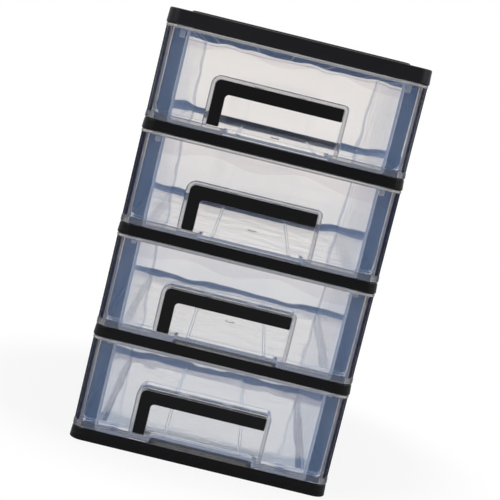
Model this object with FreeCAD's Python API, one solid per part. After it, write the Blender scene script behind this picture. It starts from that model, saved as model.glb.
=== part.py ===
import FreeCAD, Part
import math
import os

os.makedirs("parts", exist_ok=True)

# A desktop tower of four clear pull-out drawers in a black case.
# Millimetres, +Z up, front towards -Y, origin at the middle of the underside.

# Overall case
case_width = 191.0
case_depth = 300.0
tier_count = 4
base_height = 9.2
bay_height = 68.25
beam_height = 8.0
lid_height = 11.0
corner_radius = 9.5

# Frames: the base, the rings between the drawers, and the rim of the lid
front_rail = 21.0
side_rail = 21.0
rear_rail = 12.0
opening_radius = 6.0
frame_skin = 2.6
outer_skirt = 2.6
inner_skirt = 2.0
rib_thickness = 1.6
rib_bays = 10
rib_columns = 6
skirt_draft = 0.5
edge_chamfer = 0.6
rear_stop_wall = 2.0
rear_stop_height = 5.8
plateau_height = 1.5
plateau_inset = 15.5
plateau_radius = 7.0

# Side panels
panel_set_in = 0.7
panel_wall = 2.0
panel_rim = 3.9
panel_rim_thickness = 2.2
panel_tab_length = 18.0
panel_tab_height = 1.6
panel_tab_thickness = 1.6
panel_tab_bays = (1, 4, 7)
socket_fit = 0.15

# Drawer clearances
running_gap = 0.4
front_set_back = 0.3
rear_stop_gap = 0.6

# Drawer front
front_wall = 1.8
lip_step = 1.2
top_lip_height = 1.9
bottom_lip_height = 4.5
stiffener_wall = 1.6
stiffener_gap = 0.3
stiffener_top_radius = 2.4
stiffener_bottom_radius = 5.5

# Drawer box
box_wall = 1.8
floor_wall = 1.8
floor_bearing = 4.0
box_head_gap = 1.2
box_rear_gap = 10.0
box_corner_radius = 3.0
box_floor_radius = 2.4
box_rim_width = 2.2
box_rim_thickness = 1.6
floor_rib_offset = 28.5
floor_rib_width = 1.8
floor_rib_height = 0.6
rear_rib_height = 46.0
gate_mark_radius = 3.6
gate_mark_height = 0.3
gate_mark_place = 132.0

# Pull-out stops
lug_gap = 0.6
lug_width = 4.2
lug_depth = 4.0
lug_drop = 8.0
clip_depth = 7.0
clip_base = 2.0
ear_set_in = 8.0
ear_grip = 3.7
ear_thickness = 4.0
ear_height = 7.5

# Handle pocket in the drawer front
pocket_left = 51.3
pocket_right = 41.6
pocket_top = 38.1
pocket_right_radius = 0.8
sleeve_wall = 2.7
sleeve_depth = 20.0
sleeve_proud = 0.6
notch_half = 38.0
notch_radius = 3.4
curb_wall = 1.6

# Handle insert
handle_bar = 9.4
handle_leg = 8.6
handle_depth = 10.0
handle_outer_radius = 4.2
handle_inner_radius = 3.2
handle_edge = 0.8
handle_end_gap = 0.3
handle_foot_gap = 0.4
snap_width = 6.0
snap_depth = 4.0
snap_spread = 15.8
snap_proud = 0.6
snap_fit = 0.2

# Every cut runs this far past the face that it opens
overrun = 1.0

# Places that follow from the sizes above
half_width = case_width / 2
frame_pitch = bay_height + beam_height
rib_pitch = case_depth / rib_bays
rail_inner = half_width - side_rail
channel_inner = rail_inner + inner_skirt
channel_outer = half_width - outer_skirt
front_outline_radius = corner_radius - front_set_back
wrap_end = corner_radius
shell_set_back = front_set_back + lip_step
shell_back = shell_set_back + front_wall
box_half = rail_inner + floor_bearing
box_front = shell_set_back + front_wall / 2
box_rear = case_depth - box_rear_gap
box_top = bay_height - box_head_gap
floor_top = running_gap + floor_wall
lip_top = running_gap + bottom_lip_height
lug_inner = box_half + box_rim_width + lug_gap
clip_rear = rib_pitch - rib_thickness / 2


def vector(x, y, z):
    return FreeCAD.Vector(x, y, z)


def block(x0, x1, y0, y1, z0, z1):
    return Part.makeBox(x1 - x0, y1 - y0, z1 - z0, vector(x0, y0, z0))


def rounded_wire(points, radii):
    """A closed outline of straight runs whose corners are arcs of the given radii."""
    count = len(points)
    stretches = []
    for i in range(count):
        corner = points[i]
        to_last = (points[i - 1] - corner).normalize()
        to_next = (points[(i + 1) % count] - corner).normalize()
        half_angle = to_last.getAngle(to_next) / 2
        if radii[i] > 0:
            inward = (to_last + to_next).normalize()
            reach = radii[i] / math.tan(half_angle)
            centre = corner + inward * (radii[i] / math.sin(half_angle))
            start = corner + to_last * reach
            stop = corner + to_next * reach
            stretches.append((start, centre - inward * radii[i], stop))
        else:
            stretches.append((corner, None, corner))
    edges = []
    for i in range(count):
        start, middle, stop = stretches[i]
        if middle is not None:
            edges.append(Part.Arc(start, middle, stop).toShape())
        following = stretches[(i + 1) % count][0]
        if (following - stop).Length > Part.Precision.confusion():
            edges.append(Part.LineSegment(stop, following).toShape())
    return Part.Wire(edges)


def plan_wire(half, y0, y1, front_radius, rear_radius, z):
    """A rectangle seen from above, with rounded front and rear corners."""
    points = [vector(-half, y0, z), vector(half, y0, z), vector(half, y1, z), vector(-half, y1, z)]
    return rounded_wire(points, (front_radius, front_radius, rear_radius, rear_radius))


def plan_slab(half, y0, y1, front_radius, rear_radius, z0, z1):
    face = Part.Face(plan_wire(half, y0, y1, front_radius, rear_radius, z0))
    return face.extrude(vector(0, 0, z1 - z0))


def case_wire(inset, z):
    radius = corner_radius - inset
    return plan_wire(half_width - inset, inset, case_depth - inset, radius, radius, z)


def case_slab(inset, z0, z1):
    return Part.Face(case_wire(inset, z0)).extrude(vector(0, 0, z1 - z0))


def front_slab(points, radii, y0, y1):
    """A shape drawn on the front of the case, as (x, z) points, and run back from y0 to y1."""
    wire = rounded_wire([vector(x, y0, z) for x, z in points], radii)
    return Part.Face(wire).extrude(vector(0, y1 - y0, 0))


def save(name, shape):
    """Writes one piece, with the origin moved to the middle of the case's underside."""
    piece = shape.removeSplitter()
    if len(piece.Solids) == 1:
        piece = piece.Solids[0]
    piece.translate(vector(0, -case_depth / 2, 0))
    piece.exportStep(os.path.join("parts", name + ".step"))


def skirted_body(z0, z1, top_chamfer):
    """The outside of a black frame: chamfered below, slightly narrower towards the top."""
    wires = [case_wire(edge_chamfer, z0), case_wire(0, z0 + edge_chamfer)]
    wires.append(case_wire(skirt_draft, z1 - top_chamfer))
    wires.append(case_wire(skirt_draft + top_chamfer, z1))
    return Part.makeLoft(wires, True, True)


def middle_slab(grow, z0, z1):
    """The open middle of a frame, widened all round by grow."""
    radius = opening_radius + grow
    front = front_rail - grow
    rear = case_depth - rear_rail + grow
    return plan_slab(rail_inner + grow, front, rear, radius, radius, z0, z1)


def underside_ribs(z0, z1):
    """Thin moulded ribs across and along the underside."""
    ribs = []
    for i in range(1, rib_bays):
        y = i * rib_pitch
        ribs.append(block(-half_width, half_width, y - rib_thickness / 2, y + rib_thickness / 2, z0, z1))
    for j in range(1, rib_columns):
        x = (j - rib_columns / 2) * case_width / rib_columns
        ribs.append(block(x - rib_thickness / 2, x + rib_thickness / 2, 0, case_depth, z0, z1))
    return ribs


def underside_cells(z0, ceiling, closed_middle):
    """The hollows moulded into the underside of a frame or of the lid."""
    low = z0 - overrun
    cells = case_slab(outer_skirt, low, ceiling)
    wall = middle_slab(inner_skirt, low, ceiling)
    if closed_middle:
        wall = wall.cut(middle_slab(0, low - overrun, ceiling + overrun))
    return cells.cut([wall] + underside_ribs(low - overrun, ceiling + overrun))


def panel_sockets(z1):
    """Pockets in the top of a frame for the tabs under the side panels of the tier above."""
    sockets = []
    inner = half_width - panel_set_in - panel_rim - socket_fit
    outer = inner + panel_tab_thickness + 2 * socket_fit
    reach = panel_tab_length / 2 + socket_fit
    for bay in panel_tab_bays:
        y = (bay + 0.5) * rib_pitch
        low = z1 - panel_tab_height - socket_fit
        sockets.append(block(inner, outer, y - reach, y + reach, low, z1 + overrun))
        sockets.append(block(-outer, -inner, y - reach, y + reach, low, z1 + overrun))
    return sockets


def rear_stop(z1):
    """The upstand on the rear rail of a frame, which stops the drawer above when it is pushed in."""
    half = half_width - panel_set_in - panel_rim - socket_fit
    front = box_rear + rear_stop_gap
    return block(-half, half, front, front + rear_stop_wall, z1 - frame_skin / 2, z1 + rear_stop_height)


def ring_frame(z0, height):
    """The base or one of the rings that part the drawers: a black frame with an open middle."""
    z1 = z0 + height
    body = skirted_body(z0, z1, edge_chamfer)
    cuts = [middle_slab(0, z0 - overrun, z1 + overrun)]
    cuts.append(underside_cells(z0, z1 - frame_skin, False))
    return body.cut(cuts + panel_sockets(z1)).fuse(rear_stop(z1))


def lid_cover(z0):
    """The black lid: a ribbed plate with a skirt and a low flat plateau on top."""
    z1 = z0 + lid_height
    body = skirted_body(z0, z1, edge_chamfer)
    half = half_width - plateau_inset
    front = plateau_inset
    rear = case_depth - plateau_inset
    top = z1 + plateau_height
    wires = []
    for inset, z in ((0, z1 - edge_chamfer), (0, top - edge_chamfer), (edge_chamfer, top)):
        radius = plateau_radius - inset
        wires.append(plan_wire(half - inset, front + inset, rear - inset, radius, radius, z))
    body = body.fuse(Part.makeLoft(wires, True, True))
    return body.cut(underside_cells(z0, z1 - frame_skin, True))


def side_panel(side, z0):
    """A black side wall of one tier: a thin plate with a rim, plugged into the frames by tabs."""
    z1 = z0 + bay_height
    outer = half_width - panel_set_in
    inner = outer - panel_rim
    front = wrap_end + running_gap
    rear = case_depth - panel_set_in
    body = block(inner, outer, front, rear, z0, z1)
    hollow_front = front + panel_rim_thickness
    hollow_rear = rear - panel_rim_thickness - corner_radius
    low = z0 + panel_rim_thickness
    high = z1 - panel_rim_thickness
    body = body.cut(block(inner - overrun, outer - panel_wall, hollow_front, hollow_rear, low, high))
    body = body.common(case_slab(panel_set_in, z0, z1))
    tabs = []
    for bay in panel_tab_bays:
        y = (bay + 0.5) * rib_pitch
        reach = panel_tab_length / 2
        thick = inner + panel_tab_thickness
        tabs.append(block(inner, thick, y - reach, y + reach, z0 - panel_tab_height, z1 + panel_tab_height))
    body = body.fuse([tab.cut(block(inner - overrun, outer, front, rear, low, high)) for tab in tabs])
    if side < 0:
        body = body.mirror(vector(0, 0, 0), vector(1, 0, 0))
    return body


def stop_clip(side, z1):
    """A small clear clip pressed into the frame above a drawer; its lug stops the drawer's ear."""
    top = z1 + clip_base
    base = block(channel_inner, channel_outer, clip_rear - clip_depth, clip_rear, z1, top)
    front = clip_rear - clip_depth / 2 - lug_depth / 2
    lug = block(lug_inner, lug_inner + lug_width, front, front + lug_depth, z1 - lug_drop, top)
    edges = [edge for edge in lug.Edges if edge.BoundBox.ZMax < z1 - lug_drop / 2]
    lug = lug.makeFillet(lug_width / 4, edges)
    body = base.fuse(lug)
    if side < 0:
        body = body.mirror(vector(0, 0, 0), vector(1, 0, 0))
    return body


def front_outline(inset, z0, z1):
    """A slab with the plan outline of a drawer front, cut off behind the rounded corners."""
    half = half_width - running_gap - inset
    front = front_set_back + inset
    radius = front_outline_radius - inset
    return plan_slab(half, front, wrap_end, radius, 0, z0, z1)


def drawer_front(z0):
    """The clear front: a plate wrapped round the corners, with a lip above and a deeper one below."""
    low = z0 + running_gap
    high = z0 + bay_height - running_gap
    inside = front_outline(lip_step + front_wall, low - overrun, high + overrun)
    inside = inside.fuse(inside.translated(vector(0, overrun, 0)))
    plate = front_outline(lip_step, low, high)
    top_lip = front_outline(0, high - top_lip_height, high)
    bottom_lip = front_outline(0, low, low + bottom_lip_height)
    return plate.fuse([top_lip, bottom_lip]).cut(inside)


def stiffener(z0):
    """A rib loop behind the plate, just inside the side panels, with rounded lower corners."""
    panel_inner = half_width - panel_set_in - panel_rim
    half = panel_inner - stiffener_gap
    low = z0 + lip_top
    high = z0 + bay_height - running_gap
    top = stiffener_top_radius
    bottom = stiffener_bottom_radius
    wall = stiffener_wall
    points = [(-half, low), (half, low), (half, high), (-half, high)]
    loop = front_slab(points, (bottom, bottom, top, top), shell_back, wrap_end)
    half = half - wall
    low = low + wall
    high = high - wall
    points = [(-half, low), (half, low), (half, high), (-half, high)]
    radii = (bottom - wall, bottom - wall, top - wall, top - wall)
    return loop.cut(front_slab(points, radii, shell_back - overrun, wrap_end + overrun))


def box_solid(inset, low, high, front):
    """The drawer box as a solid, with rounded rear corners and a rounded floor edge."""
    half = box_half - inset
    rear = box_rear - inset
    body = plan_slab(half, front, rear, 0, box_corner_radius - inset, low, high)
    edges = []
    for edge in body.Edges:
        bound = edge.BoundBox
        if bound.ZMax < low + overrun and bound.YMax > front + overrun:
            edges.append(edge)
    return body.makeFillet(box_floor_radius - inset, edges)


def drawer_box(z0):
    """The clear box behind the front, with a rim, two floor ribs and an ear on each side."""
    low = z0 + running_gap
    high = z0 + box_top
    body = box_solid(0, low, high, box_front)
    rim_half = box_half + box_rim_width
    rim_radius = box_corner_radius + box_rim_width
    rim_rear = box_rear + box_rim_width
    rim = plan_slab(rim_half, box_front, rim_rear, 0, rim_radius, high - box_rim_thickness, high)
    ear_rear = box_rear - ear_set_in
    ears = []
    for side in (-1, 1):
        x0, x1 = sorted((side * (box_half - box_wall), side * (lug_inner + ear_grip)))
        ears.append(block(x0, x1, ear_rear - ear_thickness, ear_rear, high - ear_height, high))
    body = body.fuse([rim] + ears)
    body = body.cut(box_solid(box_wall, z0 + floor_top, high + overrun, box_front - overrun))
    return body.fuse(floor_ribs(z0) + [gate_mark(z0)])


def floor_ribs(z0):
    """Two low ribs that run back along the floor and up the rear wall."""
    floor = z0 + floor_top
    rear = box_rear - box_wall
    ribs = []
    for side in (-1, 1):
        x0 = side * floor_rib_offset - floor_rib_width / 2
        x1 = x0 + floor_rib_width
        low = floor - floor_wall / 2
        along = block(x0, x1, sleeve_depth, rear + box_wall / 2, low, floor + floor_rib_height)
        up = block(x0, x1, rear - floor_rib_height, rear + box_wall / 2, low, floor + rear_rib_height)
        ribs.append(along.fuse(up))
    return ribs


def gate_mark(z0):
    """The small round mark where the plastic entered the mould, in the middle of the floor."""
    low = z0 + floor_top - floor_wall / 2
    height = floor_wall / 2 + gate_mark_height
    return Part.makeCylinder(gate_mark_radius, height, vector(0, gate_mark_place, low))


def pocket_outline(grow, z0, bottom):
    """The handle pocket seen from the front, widened by grow, as points and corner radii."""
    left = -pocket_left - grow
    right = pocket_right + grow
    top = z0 + pocket_top + grow
    points = [(left, bottom), (right, bottom), (right, top), (left, top)]
    return points, (0, 0, pocket_right_radius + grow, handle_outer_radius + grow)


def handle_sleeve(z0):
    """The clear wall round the handle pocket, which runs back into the drawer."""
    points, radii = pocket_outline(sleeve_wall, z0, z0 + running_gap)
    return front_slab(points, radii, shell_set_back - sleeve_proud, sleeve_depth)


def notch_curb(z0):
    """The bottom lip turned back round the notch under the handle."""
    half = notch_half + curb_wall
    radius = notch_radius + curb_wall
    low = z0 + running_gap
    return plan_slab(half, front_set_back, sleeve_depth, 0, radius, low, z0 + lip_top)


def notch_space(z0):
    """The notch itself, flared with a rounded corner where it meets the front."""
    low = z0 - overrun
    high = z0 + lip_top
    rear = sleeve_depth - curb_wall
    body = plan_slab(notch_half, -overrun, rear, 0, notch_radius, low, high)
    flares = []
    for side in (-1, 1):
        centre_x = side * (notch_half + notch_radius)
        centre_y = front_set_back + notch_radius
        x0, x1 = sorted((side * notch_half, centre_x))
        corner = block(x0, x1, -overrun, centre_y, low, high)
        height = high - low + 2 * overrun
        post = Part.makeCylinder(notch_radius, height, vector(centre_x, centre_y, low - overrun))
        flares.append(corner.cut(post))
    return body.fuse(flares)


def pocket_space(z0):
    """The open pocket above the lip, through the front and out into the drawer."""
    points, radii = pocket_outline(0, z0, z0 + lip_top)
    return front_slab(points, radii, -overrun, sleeve_depth + overrun)


def snap_places():
    """Where the two snap beads stand along the handle bar."""
    middle = (pocket_right - pocket_left) / 2
    return (middle - snap_spread, middle + snap_spread)


def snap_blocks(z0, fit, top):
    """The snap beads on top of the handle bar, or with a fit the grooves that hold them."""
    front = shell_set_back + handle_depth / 2 - snap_depth / 2 - fit
    rear = front + snap_depth + 2 * fit
    blocks = []
    for x in snap_places():
        x0 = x - snap_width / 2 - fit
        blocks.append(block(x0, x0 + snap_width + 2 * fit, front, rear, z0 + pocket_top - overrun, top))
    return blocks


def drawer(z0):
    """One clear drawer, moulded in one piece."""
    body = drawer_front(z0).fuse([stiffener(z0), drawer_box(z0), handle_sleeve(z0), notch_curb(z0)])
    slots = snap_blocks(z0, snap_fit, z0 + pocket_top + snap_proud + snap_fit)
    return body.cut([pocket_space(z0), notch_space(z0)] + slots)


def handle(z0):
    """The black handle insert: a bar under the top of the pocket and one leg down its left side."""
    top = z0 + pocket_top
    bar_low = top - handle_bar
    foot = z0 + lip_top + handle_foot_gap
    left = -pocket_left
    right = pocket_right - handle_end_gap
    leg = left + handle_leg
    points = [(left, foot), (leg, foot), (leg, bar_low), (right, bar_low), (right, top), (left, top)]
    radii = [handle_edge, handle_edge, handle_inner_radius, handle_edge]
    radii += [pocket_right_radius, handle_outer_radius]
    front = shell_set_back
    body = front_slab(points, radii, front, front + handle_depth)
    edges = [edge for edge in body.Edges if edge.BoundBox.YMax < front + handle_edge / 2]
    body = body.makeChamfer(handle_edge / 2, edges)
    return body.fuse(snap_blocks(z0, 0, top + snap_proud))


save("base_frame", ring_frame(0, base_height))
for tier in range(tier_count):
    number = str(tier + 1)
    bay = base_height + tier * frame_pitch
    save("side_panel_left_" + number, side_panel(-1, bay))
    save("side_panel_right_" + number, side_panel(1, bay))
    save("stop_clip_left_" + number, stop_clip(-1, bay + bay_height))
    save("stop_clip_right_" + number, stop_clip(1, bay + bay_height))
    save("drawer_" + number, drawer(bay))
    save("handle_" + number, handle(bay))
    if tier < tier_count - 1:
        save("middle_frame_" + number, ring_frame(bay + bay_height, beam_height))
    else:
        save("lid", lid_cover(bay + bay_height))
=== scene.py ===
import math

import bmesh
import bpy
from mathutils import Euler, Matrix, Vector
from mathutils.bvhtree import BVHTree


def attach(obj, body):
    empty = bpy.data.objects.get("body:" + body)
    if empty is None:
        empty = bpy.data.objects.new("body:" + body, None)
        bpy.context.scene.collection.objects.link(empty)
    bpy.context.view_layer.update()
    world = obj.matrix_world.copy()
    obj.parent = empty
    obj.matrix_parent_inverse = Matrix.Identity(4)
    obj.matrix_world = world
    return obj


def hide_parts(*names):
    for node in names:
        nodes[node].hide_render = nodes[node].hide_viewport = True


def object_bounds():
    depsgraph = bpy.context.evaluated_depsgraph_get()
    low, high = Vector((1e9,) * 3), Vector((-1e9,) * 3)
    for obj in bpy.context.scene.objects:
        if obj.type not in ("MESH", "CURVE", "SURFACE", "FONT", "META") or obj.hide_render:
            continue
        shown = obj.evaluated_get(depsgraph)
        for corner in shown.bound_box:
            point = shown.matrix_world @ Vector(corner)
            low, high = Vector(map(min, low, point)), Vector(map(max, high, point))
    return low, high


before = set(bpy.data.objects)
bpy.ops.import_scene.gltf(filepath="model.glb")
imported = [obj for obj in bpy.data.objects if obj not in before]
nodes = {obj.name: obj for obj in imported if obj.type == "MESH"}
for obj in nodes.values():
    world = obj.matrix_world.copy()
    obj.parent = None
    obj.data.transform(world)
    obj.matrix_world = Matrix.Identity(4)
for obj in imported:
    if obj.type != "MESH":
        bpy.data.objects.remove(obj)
cad_low, cad_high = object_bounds()


# Black frames: the base and the three rings that part the drawers. They are injection moulded
# in black polypropylene with a lightly eroded skin, and plug onto the side panels.
# A mould leaves every edge a little round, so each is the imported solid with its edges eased.
frame_edge_radius = 0.00035
merge_distance = 0.00001
sharp_angle = math.radians(32)
sharp_cosine = math.cos(math.radians(50))
flat_cosine = math.cos(math.radians(0.5))


def linear(code):
    """A hex sRGB colour as Blender's linear RGBA."""
    parts = [int(code[i:i + 2], 16) / 255 for i in (1, 3, 5)]
    return tuple(c / 12.92 if c <= 0.04045 else ((c + 0.055) / 1.055) ** 2.4 for c in parts) + (1.0,)


def add_node(tree, kind, inputs, **settings):
    """Adds one node, sets its properties, and gives its sockets values or links."""
    node = tree.nodes.new(kind)
    for name, value in settings.items():
        setattr(node, name, value)
    for socket, value in inputs.items():
        if isinstance(value, bpy.types.NodeSocket):
            tree.links.new(value, node.inputs[socket])
        else:
            node.inputs[socket].default_value = value
    return node


def new_tree(name):
    """A material with an empty node tree, its output node and its Object coordinates."""
    material = bpy.data.materials.new(name)
    material.use_nodes = True
    tree = material.node_tree
    tree.nodes.clear()
    output = tree.nodes.new("ShaderNodeOutputMaterial")
    place = tree.nodes.new("ShaderNodeTexCoord").outputs["Object"]
    return material, tree, output, place


def even_normals(mesh):
    """Shades a mesh from its flat and curved stretches, so that a flat face stays flat to its rim."""
    shape = bmesh.new()
    shape.from_mesh(mesh)
    shape.faces.ensure_lookup_table()
    stretch_of = [None] * len(shape.faces)
    areas = []
    for first in shape.faces:
        if stretch_of[first.index] is not None:
            continue
        number = len(areas)
        stretch_of[first.index] = number
        stretch = [first]
        for face in stretch:
            for edge in face.edges:
                for other in edge.link_faces:
                    if stretch_of[other.index] is None and other.normal.dot(first.normal) > flat_cosine:
                        stretch_of[other.index] = number
                        stretch.append(other)
        areas.append(sum(face.calc_area() for face in stretch))
    normals = []
    for face in shape.faces:
        for corner in face.loops:
            total = Vector()
            counted = set()
            for other in corner.vert.link_faces:
                number = stretch_of[other.index]
                if number not in counted and other.normal.dot(face.normal) > sharp_cosine:
                    counted.add(number)
                    total += other.normal * areas[number]
            normals.append(total.normalized())
    shape.free()
    mesh.normals_split_custom_set(normals)


def names_like(*starts):
    """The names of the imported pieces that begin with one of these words."""
    return [name for name in nodes if name.startswith(starts)]


def moulded_copy(name, radius, materials):
    """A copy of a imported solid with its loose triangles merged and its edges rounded."""
    shape = bmesh.new()
    shape.from_mesh(nodes[name].data)
    bmesh.ops.remove_doubles(shape, verts=shape.verts, dist=merge_distance)
    skin = BVHTree.FromBMesh(shape)
    mesh = bpy.data.meshes.new(name + "_moulded")
    shape.to_mesh(mesh)
    shape.free()
    piece = bpy.data.objects.new(name + "_moulded", mesh)
    bpy.context.scene.collection.objects.link(piece)
    for material in materials:
        mesh.materials.append(material)
    bevel = piece.modifiers.new("eased_edges", "BEVEL")
    bevel.width = radius
    bevel.segments = 2
    bevel.limit_method = "ANGLE"
    bevel.angle_limit = sharp_angle
    bevel.use_clamp_overlap = False
    bpy.context.view_layer.update()
    depsgraph = bpy.context.evaluated_depsgraph_get()
    rounded = bpy.data.meshes.new_from_object(piece.evaluated_get(depsgraph))
    piece.modifiers.clear()
    piece.data = rounded
    # Where many edges meet, the rounding can throw a corner out. It goes back onto the solid.
    for corner in rounded.vertices:
        nearest, normal, face, distance = skin.find_nearest(corner.co)
        if distance > radius:
            corner.co = nearest
    rounded.shade_smooth()
    even_normals(rounded)
    return piece


def stand_in(piece, name, body):
    """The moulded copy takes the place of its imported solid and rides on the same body."""
    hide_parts(name)
    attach(piece, body)


def black_polypropylene(name, dark, light, roughness, shine_level):
    """Black moulding plastic: nearly even colour, a broad soft shine and a fine eroded grain."""
    material, tree, output, place = new_tree(name)
    cloud = add_node(tree, "ShaderNodeTexNoise", {"Vector": place, "Scale": 1 / 0.05, "Detail": 2.0})
    # Real grit is about 0.1 mm, which a picture this small can't show, so it is drawn at 0.7 mm.
    grain = add_node(tree, "ShaderNodeTexNoise", {"Vector": place, "Scale": 1 / 0.0007, "Detail": 1.0})
    shade = add_node(tree, "ShaderNodeMix", {
        "Factor": cloud.outputs["Fac"], 6: linear(dark), 7: linear(light)}, data_type="RGBA")
    shine = add_node(tree, "ShaderNodeMapRange", {
        "Value": cloud.outputs["Fac"], "To Min": roughness, "To Max": roughness + 0.08})
    relief = add_node(tree, "ShaderNodeBump", {
        "Height": grain.outputs["Fac"], "Distance": 0.00002, "Strength": 1.0})
    surface = add_node(tree, "ShaderNodeBsdfPrincipled", {
        "Base Color": shade.outputs[2], "Roughness": shine.outputs["Result"],
        "Normal": relief.outputs["Normal"], "IOR": 1.49, "Specular IOR Level": shine_level})
    tree.links.new(surface.outputs["BSDF"], output.inputs["Surface"])
    return material


# The skin is satin, but the lands on top, where the drawers run, are polished.
frame_plastic = black_polypropylene("satin_black_polypropylene", "#070709", "#0c0c0e", 0.34, 0.22)
land_plastic = black_polypropylene("polished_black_polypropylene", "#08080b", "#0d0d10", 0.12, 0.5)
land_slope = math.cos(math.radians(50))
for name in names_like("base_frame", "middle_frame"):
    piece = moulded_copy(name, frame_edge_radius, [frame_plastic, land_plastic])
    for face in piece.data.polygons:
        if face.normal.z > land_slope:
            face.material_index = 1
    stand_in(piece, name, "case")


# Lid: a ribbed black plate with a low flat plateau, from the same plastic as the frames.
# It snaps onto the side panels of the top tier.
lid_plastic = black_polypropylene("matt_black_polypropylene", "#0c0c12", "#111117", 0.40, 0.30)
stand_in(moulded_copy("lid", frame_edge_radius, [lid_plastic]), "lid", "case")


# Parting lines: the fine raised line round each frame and the lid, where the two halves of the
# mould met. It is the same plastic and part of the same moulding, one line every tier.
def underside(name):
    """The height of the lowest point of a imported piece."""
    return min(corner.co.z for corner in nodes[name].data.vertices)


frame_corner = 0.0095
parting_set_in = 0.0004
parting_height = 0.0036
tier_pitch = underside("drawer_2") - underside("drawer_1")
parting_size = {
    "Width": 2 * (cad_high[0] - parting_set_in), "Depth": 2 * (cad_high[1] - parting_set_in),
    "Corner": frame_corner - parting_set_in, "Bead": 0.00025,
    "Lowest": underside("middle_frame_1") + parting_height - tier_pitch, "Pitch": tier_pitch, "Rows": 5}


def parting_line_tree():
    """A bead that follows the outline of a frame, repeated upwards."""
    tree = bpy.data.node_groups.new("parting_lines", "GeometryNodeTree")
    tree.interface.new_socket("Geometry", in_out="OUTPUT", socket_type="NodeSocketGeometry")
    for name in parting_size:
        kind = "NodeSocketInt" if name == "Rows" else "NodeSocketFloat"
        tree.interface.new_socket(name, in_out="INPUT", socket_type=kind)
    tree.interface.new_socket("Material", in_out="INPUT", socket_type="NodeSocketMaterial")
    sizes = tree.nodes.new("NodeGroupInput").outputs
    outline = add_node(tree, "GeometryNodeCurvePrimitiveQuadrilateral", {
        "Width": sizes["Width"], "Height": sizes["Depth"]})
    rounded = add_node(tree, "GeometryNodeFilletCurve", {
        "Curve": outline.outputs["Curve"], "Radius": sizes["Corner"]}, mode="POLY")
    rounded.inputs["Count"].default_value = 10
    section = add_node(tree, "GeometryNodeCurvePrimitiveCircle", {
        "Resolution": 8, "Radius": sizes["Bead"]})
    bead = add_node(tree, "GeometryNodeCurveToMesh", {
        "Curve": rounded.outputs["Curve"], "Profile Curve": section.outputs["Curve"]})
    start = add_node(tree, "ShaderNodeCombineXYZ", {"Z": sizes["Lowest"]})
    step = add_node(tree, "ShaderNodeCombineXYZ", {"Z": sizes["Pitch"]})
    rows = add_node(tree, "GeometryNodeMeshLine", {
        "Count": sizes["Rows"], "Start Location": start.outputs[0], "Offset": step.outputs[0]})
    copies = add_node(tree, "GeometryNodeInstanceOnPoints", {
        "Points": rows.outputs["Mesh"], "Instance": bead.outputs["Mesh"]})
    whole = add_node(tree, "GeometryNodeRealizeInstances", {"Geometry": copies.outputs["Instances"]})
    painted = add_node(tree, "GeometryNodeSetMaterial", {
        "Geometry": whole.outputs["Geometry"], "Material": sizes["Material"]})
    add_node(tree, "NodeGroupOutput", {"Geometry": painted.outputs["Geometry"]})
    return tree


piece = bpy.data.objects.new("parting_lines", bpy.data.meshes.new("parting_lines"))
bpy.context.scene.collection.objects.link(piece)
growth = piece.modifiers.new("parting_lines", "NODES")
growth.node_group = parting_line_tree()
for socket in growth.node_group.interface.items_tree:
    if socket.in_out == "INPUT":
        growth[socket.identifier] = parting_size.get(socket.name, frame_plastic)
bpy.context.view_layer.update()
depsgraph = bpy.context.evaluated_depsgraph_get()
lines = bpy.data.meshes.new_from_object(piece.evaluated_get(depsgraph))
piece.modifiers.clear()
piece.data = lines
lines.shade_smooth()
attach(piece, "case")


# Side panels: thin black walls with a rim, moulded flat and plugged into the frames by tabs.
# Their skin is coarser and duller than that of the frames.
panel_plastic = black_polypropylene("coarse_black_polypropylene", "#0d0d10", "#121215", 0.56, 0.12)
for name in names_like("side_panel"):
    stand_in(moulded_copy(name, frame_edge_radius, [panel_plastic]), name, "case")


# Drawers: each is one moulding in clear polystyrene, with a wrapped front, a lip above and below,
# a stiffening loop behind the front, and a box with a rim. The polished mould leaves long
# shallow waves, and the plastic is a little milky: warm against light, blue against black.
drawer_edge_radius = 0.0004
running_gap = 0.0004
lowest_bay = underside("drawer_1") - running_gap
# Where one skin ends and the next begins: places along Y and across X, heights on the drawer.
front_plate_rear = -0.1462
lip_front = -0.1489
lower_lip_height = 0.0046
upper_lip_start = 0.0655
corner_start = cad_high[0] - 0.0075
corner_rear = -0.1392
loop_end = cad_high[0] - 0.0047
rear_corner_start = cad_high[0] - 0.0201
rear_corner_front = 0.1368
# Heights in the bay at which the skin of the front changes, and at which the frost turns from painted
# shade below to painted light above.
sink_start = 0.044
sink_end = 0.056
frost_painted_light_start = 0.048
thick_edge_rise = 0.007
above_drawer = 1.0
# How the plastic treats light.
bounces_kept = 2.5
thin_wall_index = 1.14
polystyrene_index = 1.49


def place_in_mould(tree, place):
    """The height in the bay and a place that is the same in each tier: one mould made them all."""
    parts = add_node(tree, "ShaderNodeSeparateXYZ", {"Vector": place})
    raised = add_node(tree, "ShaderNodeMath", {
        0: parts.outputs["Z"], 1: lowest_bay}, operation="SUBTRACT")
    height = add_node(tree, "ShaderNodeMath", {
        0: raised.outputs[0], 1: tier_pitch, 2: 0.0}, operation="WRAP")
    spot = add_node(tree, "ShaderNodeCombineXYZ", {
        "X": parts.outputs["X"], "Y": parts.outputs["Y"], "Z": height.outputs[0]})
    return height.outputs[0], spot.outputs["Vector"]


def noise(tree, spot, length):
    """Smooth noise whose bumps are about one length apart."""
    return add_node(tree, "ShaderNodeTexNoise", {
        "Vector": spot, "Scale": 1 / length, "Detail": 0.0}).outputs["Fac"]


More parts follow.
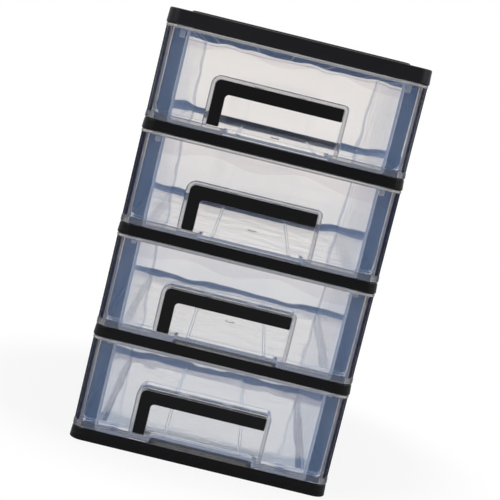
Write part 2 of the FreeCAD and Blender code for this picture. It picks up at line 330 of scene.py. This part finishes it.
def skin_relief(tree, height, waves, wave_heights, taper, ripples, ripple_height, backfacing):
    """The relief of the polished skin: long waves, a taper up the wall, and short ripples.

    The two wave heights are the one low on the wall and the one under the upper lip.
    """
    # Under the upper lip the plastic shrank unevenly as it cooled, so the waves change there.
    sink = add_node(tree, "ShaderNodeMapRange", {
        "Value": height, "From Min": sink_start, "From Max": sink_end,
        "To Min": wave_heights[0], "To Max": wave_heights[1]}, interpolation_type="SMOOTHSTEP")
    lean = add_node(tree, "ShaderNodeMapRange", {
        "Value": height, "From Min": 0.0, "From Max": sink_end, "To Min": taper, "To Max": 0.0})
    wave = add_node(tree, "ShaderNodeMath", {
        0: waves, 1: sink.outputs["Result"], 2: lean.outputs["Result"]}, operation="MULTIPLY_ADD")
    swell = add_node(tree, "ShaderNodeMath", {
        0: ripples, 1: ripple_height, 2: wave.outputs[0]}, operation="MULTIPLY_ADD")
    # A face that light meets from inside is turned round, so there the relief is turned back.
    sign = add_node(tree, "ShaderNodeMapRange", {"Value": backfacing, "To Min": 1.0, "To Max": -1.0})
    height_map = add_node(tree, "ShaderNodeMath", {
        0: swell.outputs[0], 1: sign.outputs["Result"]}, operation="MULTIPLY")
    return add_node(tree, "ShaderNodeBump", {
        "Height": height_map.outputs[0], "Distance": 1.0, "Strength": 1.0}).outputs["Normal"]


def see_through_wall(tree, tint, backfacing):
    """A thin wall seen edge-on: it lets sight straight through and only shines."""
    index = add_node(tree, "ShaderNodeMapRange", {
        "Value": backfacing, "To Min": thin_wall_index, "To Max": 1 / thin_wall_index})
    share = add_node(tree, "ShaderNodeFresnel", {"IOR": index.outputs["Result"]})
    straight = add_node(tree, "ShaderNodeBsdfTransparent", {"Color": tint})
    shine = add_node(tree, "ShaderNodeBsdfGlossy", {"Color": linear("#ffffff"), "Roughness": 0.06})
    return add_node(tree, "ShaderNodeMixShader", {
        "Fac": share.outputs["Fac"], 1: straight.outputs["BSDF"],
        2: shine.outputs["BSDF"]}).outputs["Shader"]


def clear_polystyrene(
        name, veil, tint="#fffcf4", bends_light=True, frost=0.0, low_frost_painted_shade="#c6c4c4",
        wave_length=0.03, wave_heights=(0.0, 0.0), taper=0.0, ripple_length=0.008,
        ripple_height=0.0, thick_start=above_drawer):
    """Clear moulding plastic: polished glass-like walls with long waves and a thin blue veil."""
    material, tree, output, place = new_tree(name)
    height, spot = place_in_mould(tree, place)
    waves = noise(tree, spot, wave_length)
    ripples = noise(tree, spot, ripple_length)
    backfacing = tree.nodes.new("ShaderNodeNewGeometry").outputs["Backfacing"]
    # The wall is thicker and greyer just under the upper lip, down to an uneven edge.
    edge = add_node(tree, "ShaderNodeMapRange", {
        "Value": waves, "From Min": 0.35, "From Max": 0.65,
        "To Min": thick_start, "To Max": thick_start + thick_edge_rise})
    thick = add_node(tree, "ShaderNodeMath", {
        0: height, 1: edge.outputs["Result"]}, operation="GREATER_THAN")
    wall_tint = add_node(tree, "ShaderNodeMix", {
        "Factor": thick.outputs[0], 6: linear(tint), 7: linear("#f4ece1")}, data_type="RGBA").outputs[2]
    if bends_light:
        relief = skin_relief(
            tree, height, waves, wave_heights, taper, ripples, ripple_height, backfacing)
        walls = add_node(tree, "ShaderNodeBsdfPrincipled", {
            "Base Color": wall_tint, "Roughness": 0.03, "IOR": polystyrene_index,
            "Transmission Weight": 1.0, "Normal": relief}).outputs["BSDF"]
    else:
        walls = see_through_wall(tree, wall_tint, backfacing)
    if frost > 0:
        # Light gathers in the rims and leaves them frosted. The frost's colour is painted: darker low
        # on the drawer as painted shade, paler at the top as painted light.
        painted_light_mask = add_node(tree, "ShaderNodeMath", {0: height, 1: frost_painted_light_start}, operation="GREATER_THAN")
        frost_painted_tone = add_node(tree, "ShaderNodeMix", {
            "Factor": painted_light_mask.outputs[0], 6: linear(low_frost_painted_shade), 7: linear("#c6c4c4")},
            data_type="RGBA")
        frost_with_painted_light = add_node(tree, "ShaderNodeBsdfDiffuse", {"Color": frost_painted_tone.outputs[2]})
        walls = add_node(tree, "ShaderNodeMixShader", {
            "Fac": frost, 1: walls, 2: frost_with_painted_light.outputs["BSDF"]}).outputs["Shader"]
    front_haze = add_node(tree, "ShaderNodeBsdfDiffuse", {"Color": linear(veil)})
    back_haze = add_node(tree, "ShaderNodeBsdfTranslucent", {"Color": linear(veil)})
    haze = add_node(tree, "ShaderNodeMixShader", {
        "Fac": 0.5, 1: front_haze.outputs["BSDF"], 2: back_haze.outputs["BSDF"]})
    body = add_node(tree, "ShaderNodeAddShader", {0: walls, 1: haze.outputs["Shader"]})
    # Light thrown back and forth inside a wall is not followed: after a few glossy bounces the wall
    # glows an even grey blue, a painted glow in place of that light.
    path = add_node(tree, "ShaderNodeLightPath", {})
    trapped = add_node(tree, "ShaderNodeMath", {
        0: path.outputs["Glossy Depth"], 1: bounces_kept}, operation="GREATER_THAN")
    painted_glow = add_node(tree, "ShaderNodeEmission", {"Color": linear("#767a84"), "Strength": 1.0})
    body_or_painted_glow = add_node(tree, "ShaderNodeMixShader", {
        "Fac": trapped.outputs[0], 1: body.outputs["Shader"], 2: painted_glow.outputs["Emission"]})
    # Lamplight passes the clear walls almost whole, so that the drawers throw no dark shadow.
    open_way = add_node(tree, "ShaderNodeBsdfTransparent", {"Color": linear("#f7f7f7")})
    skin = add_node(tree, "ShaderNodeMixShader", {
        "Fac": path.outputs["Is Shadow Ray"], 1: body_or_painted_glow.outputs["Shader"], 2: open_way.outputs["BSDF"]})
    tree.links.new(skin.outputs["Shader"], output.inputs["Surface"])
    return material


front_plastic = clear_polystyrene(
    "clear_polystyrene_front", "#2c4260", tint="#fcf6e9", wave_length=0.05,
    wave_heights=(0.0004, 0.0006), taper=0.00048, ripple_length=0.012, ripple_height=0.00009,
    thick_start=0.055)
# The lip's frost is painted dark grey low on the drawer as painted shade, and pale at the top as
# painted light.
lip_plastic = clear_polystyrene(
    "clear_polystyrene_lip", "#20242c", tint="#fffaed", frost=0.4, low_frost_painted_shade="#64656e",
    ripple_length=0.011, ripple_height=0.00003)
box_plastic = clear_polystyrene(
    "clear_polystyrene_box", "#3c475c", wave_heights=(0.00008, 0.00008), ripple_height=0.000028)
corner_plastic = clear_polystyrene("clear_polystyrene_corner", "#0e1830", bends_light=False)
# The loop's frost is painted a little darker low on the drawer as painted shade.
loop_plastic = clear_polystyrene(
    "clear_polystyrene_loop", "#2a3347", bends_light=False, frost=0.35, low_frost_painted_shade="#b4b8c4")
rear_corner_plastic = clear_polystyrene(
    "clear_polystyrene_thick_corner", "#1c2026", tint="#d6d6d8",
    wave_heights=(0.00016, 0.00016), ripple_height=0.00008)
drawer_plastics = [
    box_plastic, front_plastic, corner_plastic, lip_plastic, loop_plastic, rear_corner_plastic]


def plastic_at(spot, level):
    """Which of the drawer's skins is at a spot, at a height above the drawer's underside."""
    across = abs(spot.x)
    on_lip = level < lower_lip_height or level > upper_lip_start
    if corner_start < across < loop_end and front_plate_rear < spot.y < corner_rear:
        return loop_plastic
    if across > rear_corner_start and spot.y > rear_corner_front:
        return rear_corner_plastic
    if across > corner_start and spot.y < corner_rear:
        return lip_plastic if on_lip else corner_plastic
    if spot.y < lip_front:
        return lip_plastic
    if spot.y < front_plate_rear:
        return front_plastic
    return box_plastic


for name in names_like("drawer"):
    piece = moulded_copy(name, drawer_edge_radius, drawer_plastics)
    lowest = underside(name)
    for face in piece.data.polygons:
        plastic = plastic_at(face.center, face.center.z - lowest)
        face.material_index = drawer_plastics.index(plastic)
    stand_in(piece, name, name + "_body")


# Handles: black inserts snapped into the pocket of each front, of the same plastic as the case.
for name in names_like("handle"):
    piece = moulded_copy(name, frame_edge_radius, [frame_plastic])
    stand_in(piece, name, name.replace("handle", "drawer") + "_body")


# Stop clips: small pieces of milky natural plastic pressed into the frame above each drawer.
# Their lugs hang into the drawer's path and catch its ears.
clip_plastic, tree, output, place = new_tree("natural_polypropylene")
cloud = add_node(tree, "ShaderNodeTexNoise", {"Vector": place, "Scale": 1 / 0.004, "Detail": 2.0})
shade = add_node(tree, "ShaderNodeMix", {
    "Factor": cloud.outputs["Fac"], 6: linear("#d6d3cc"), 7: linear("#e4e1da")}, data_type="RGBA")
surface = add_node(tree, "ShaderNodeBsdfPrincipled", {
    "Base Color": shade.outputs[2], "Roughness": 0.35, "IOR": 1.49, "Subsurface Weight": 0.5,
    "Subsurface Scale": 0.003})
tree.links.new(surface.outputs["BSDF"], output.inputs["Surface"])

for name in names_like("stop_clip"):
    piece = moulded_copy(name, frame_edge_radius, [clip_plastic])
    stand_in(piece, name, "case")


# Studio: a pale floor that fades into a white surround, soft lamps, and the camera.
floor_radius = 6.0
fade_start = 0.16
fade_end = 0.26
mesh = bpy.data.meshes.new("floor")
disc = bmesh.new()
bmesh.ops.create_circle(disc, cap_ends=True, segments=96, radius=floor_radius)
disc.to_mesh(mesh)
disc.free()
floor = bpy.data.objects.new("floor", mesh)
bpy.context.scene.collection.objects.link(floor)
floor_paint, tree, output, place = new_tree("white_paper_floor")
matte = add_node(tree, "ShaderNodeBsdfDiffuse", {"Color": linear("#c4c4c6")})
glow = add_node(tree, "ShaderNodeEmission", {"Color": linear("#ffffff"), "Strength": 1.0})
path = add_node(tree, "ShaderNodeLightPath", {})
# The paper fades to white away from the object, so that only its own soft shadow is left.
reach = add_node(tree, "ShaderNodeVectorMath", {0: place}, operation="LENGTH")
fade = add_node(tree, "ShaderNodeMapRange", {
    "Value": reach.outputs["Value"], "From Min": fade_start, "From Max": fade_end,
    "To Min": 0.88, "To Max": 1.0}, interpolation_type="SMOOTHSTEP")
# Through the drawers the paper shows a painted shadow: blue grey near the object, and paler further
# away.
distance = add_node(tree, "ShaderNodeMath", {
    0: reach.outputs["Value"], 1: floor_radius}, operation="DIVIDE")
painted_shadow_shades = add_node(tree, "ShaderNodeValToRGB", {"Fac": distance.outputs[0]})
painted_shadow_ramp = painted_shadow_shades.color_ramp
painted_shadow_ramp.elements[0].position = 0.03
painted_shadow_ramp.elements[0].color = linear("#b2b8c1")
painted_shadow_ramp.elements[1].position = 1.0
painted_shadow_ramp.elements[1].color = linear("#e3e0e0")
painted_shadow_ramp.elements.new(0.12).color = linear("#cfd0d4")
painted_shadow_ramp.elements.new(0.4).color = linear("#d8d6d7")
paper_with_painted_shadow = add_node(tree, "ShaderNodeEmission", {"Color": painted_shadow_shades.outputs["Color"], "Strength": 1.0})
camera_share = add_node(tree, "ShaderNodeMath", {
    0: path.outputs["Is Camera Ray"], 1: fade.outputs["Result"]}, operation="MULTIPLY")
seen = add_node(tree, "ShaderNodeMixShader", {
    "Fac": camera_share.outputs[0], 1: matte.outputs["BSDF"], 2: glow.outputs["Emission"]})
through = add_node(tree, "ShaderNodeMixShader", {
    "Fac": path.outputs["Is Transmission Ray"], 1: seen.outputs["Shader"],
    2: paper_with_painted_shadow.outputs["Emission"]})
tree.links.new(through.outputs["Shader"], output.inputs["Surface"])
floor.data.materials.append(floor_paint)

# The surround is white behind the object. Gloss also meets the darker room in front of it.
world = bpy.data.worlds.new("white_surround")
world.use_nodes = True
tree = world.node_tree
tree.nodes.clear()
output = tree.nodes.new("ShaderNodeOutputWorld")
path = add_node(tree, "ShaderNodeLightPath", {})
place = tree.nodes.new("ShaderNodeTexCoord").outputs["Generated"]
axes = add_node(tree, "ShaderNodeSeparateXYZ", {"Vector": place})
room = add_node(tree, "ShaderNodeMapRange", {
    "Value": axes.outputs["Y"], "From Min": -0.6, "From Max": 0.3, "To Min": 0.15, "To Max": 1.0},
    interpolation_type="SMOOTHSTEP")
plain = add_node(tree, "ShaderNodeBackground", {"Color": linear("#ffffff"), "Strength": 0.5})
mirror = add_node(tree, "ShaderNodeBackground", {
    "Color": linear("#ffffff"), "Strength": room.outputs["Result"]})
behind = add_node(tree, "ShaderNodeBackground", {"Color": linear("#e3e0e0"), "Strength": 1.0})
white = add_node(tree, "ShaderNodeBackground", {"Color": linear("#ffffff"), "Strength": 1.0})
lighting = add_node(tree, "ShaderNodeMixShader", {
    "Fac": path.outputs["Is Glossy Ray"], 1: plain.outputs["Background"],
    2: mirror.outputs["Background"]})
with_view_through = add_node(tree, "ShaderNodeMixShader", {
    "Fac": path.outputs["Is Transmission Ray"], 1: lighting.outputs["Shader"],
    2: behind.outputs["Background"]})
with_backdrop = add_node(tree, "ShaderNodeMixShader", {
    "Fac": path.outputs["Is Camera Ray"], 1: with_view_through.outputs["Shader"],
    2: white.outputs["Background"]})
tree.links.new(with_backdrop.outputs["Shader"], output.inputs["Surface"])
bpy.context.scene.world = world

# Each lamp's place and size in metres, and its power in watts.
lamp_aim = Vector((0, 0, 0.16))
lamp_places = {
    "lamp_left": ((-1.1, -1.3, 1.2), 0.9, 14.0),
    "lamp_right": ((1.4, -0.9, 0.9), 0.7, 8.0),
    "lamp_top": ((0.1, 0.3, 1.8), 1.2, 12.0),
}
for name, (spot, size, power) in lamp_places.items():
    lamp = bpy.data.lights.new(name, "AREA")
    lamp.shape = "SQUARE"
    lamp.size = size
    lamp.energy = power
    holder = bpy.data.objects.new(name, lamp)
    holder.location = spot
    holder.rotation_euler = (lamp_aim - Vector(spot)).to_track_quat("-Z", "Y").to_euler()
    bpy.context.scene.collection.objects.link(holder)

camera_place = (-0.01478, -1.13804, 0.28087)
camera_turn_degrees = (83.0537, -13.7222, 0.7925)
sensor_width = 36.0
focal_length = 100.864
lens_data = bpy.data.cameras.new("camera")
lens_data.sensor_width = sensor_width
lens_data.lens = focal_length
lens_data.clip_start = 0.05
camera = bpy.data.objects.new("camera", lens_data)
camera.location = camera_place
camera.rotation_euler = Euler([math.radians(angle) for angle in camera_turn_degrees])
bpy.context.scene.collection.objects.link(camera)
bpy.context.scene.camera = camera
bpy.context.scene.view_settings.view_transform = "Standard"
